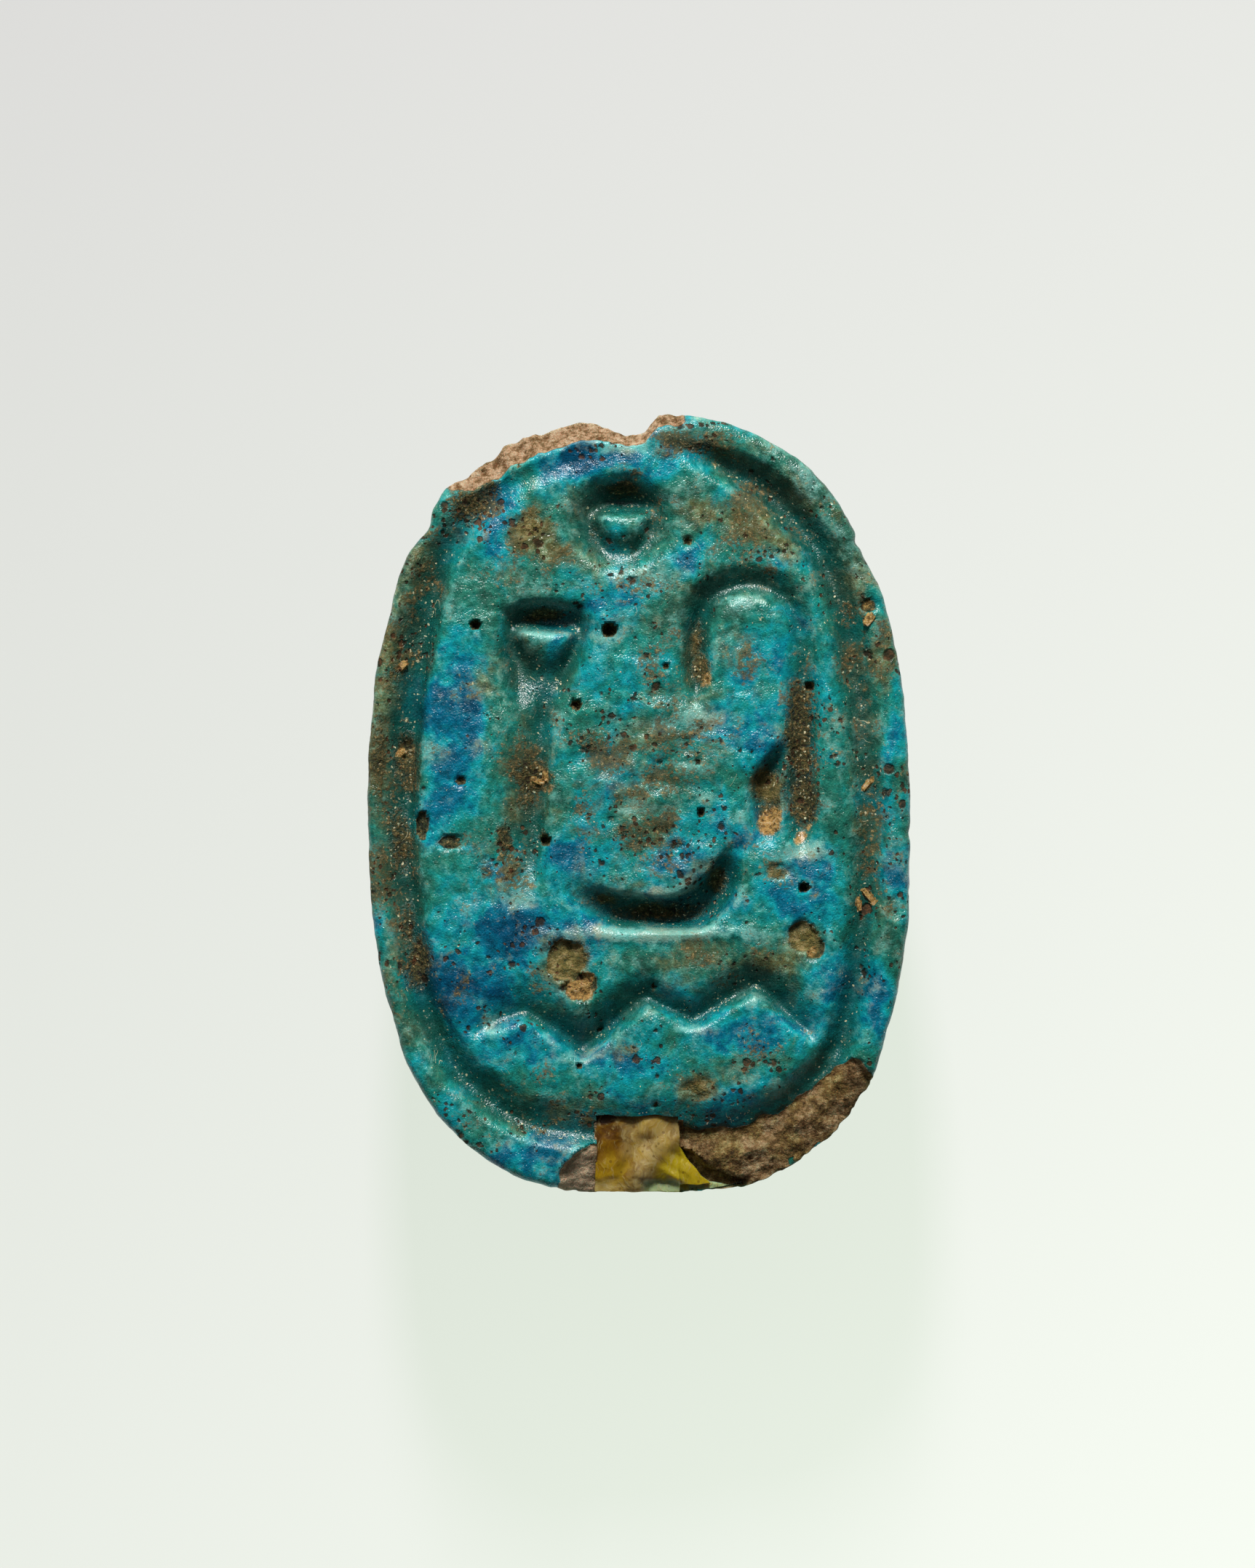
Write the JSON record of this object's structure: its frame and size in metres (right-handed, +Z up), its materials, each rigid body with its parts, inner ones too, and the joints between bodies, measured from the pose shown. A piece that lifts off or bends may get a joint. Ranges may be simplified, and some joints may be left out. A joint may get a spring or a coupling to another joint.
{
  "type": "scarab amulet",
  "caption": "Small scarab amulet of blue-green glazed composition, pierced lengthwise, with a carved oval seal face and old wax in the broken tail end of the string hole.",
  "frame": {"origin": "centre of the bounding box's underside, on the surface that the beetle's back rests on", "axes": "+Z up out of the carved seal face, +Y along the length towards the beetle's head, +X across"},
  "size_m": [0.011, 0.016, 0.0068],
  "materials": {
    "glazed_composition": "worn alkaline glaze, satin to semi-gloss, over a sandy body",
    "aged_wax": "old amber wax or resin, translucent, with broken facets"
  },
  "bodies": {
    "root": {"scarab_body": "glazed_composition", "wax_plug": "aged_wax"}
  },
  "joints": []
}
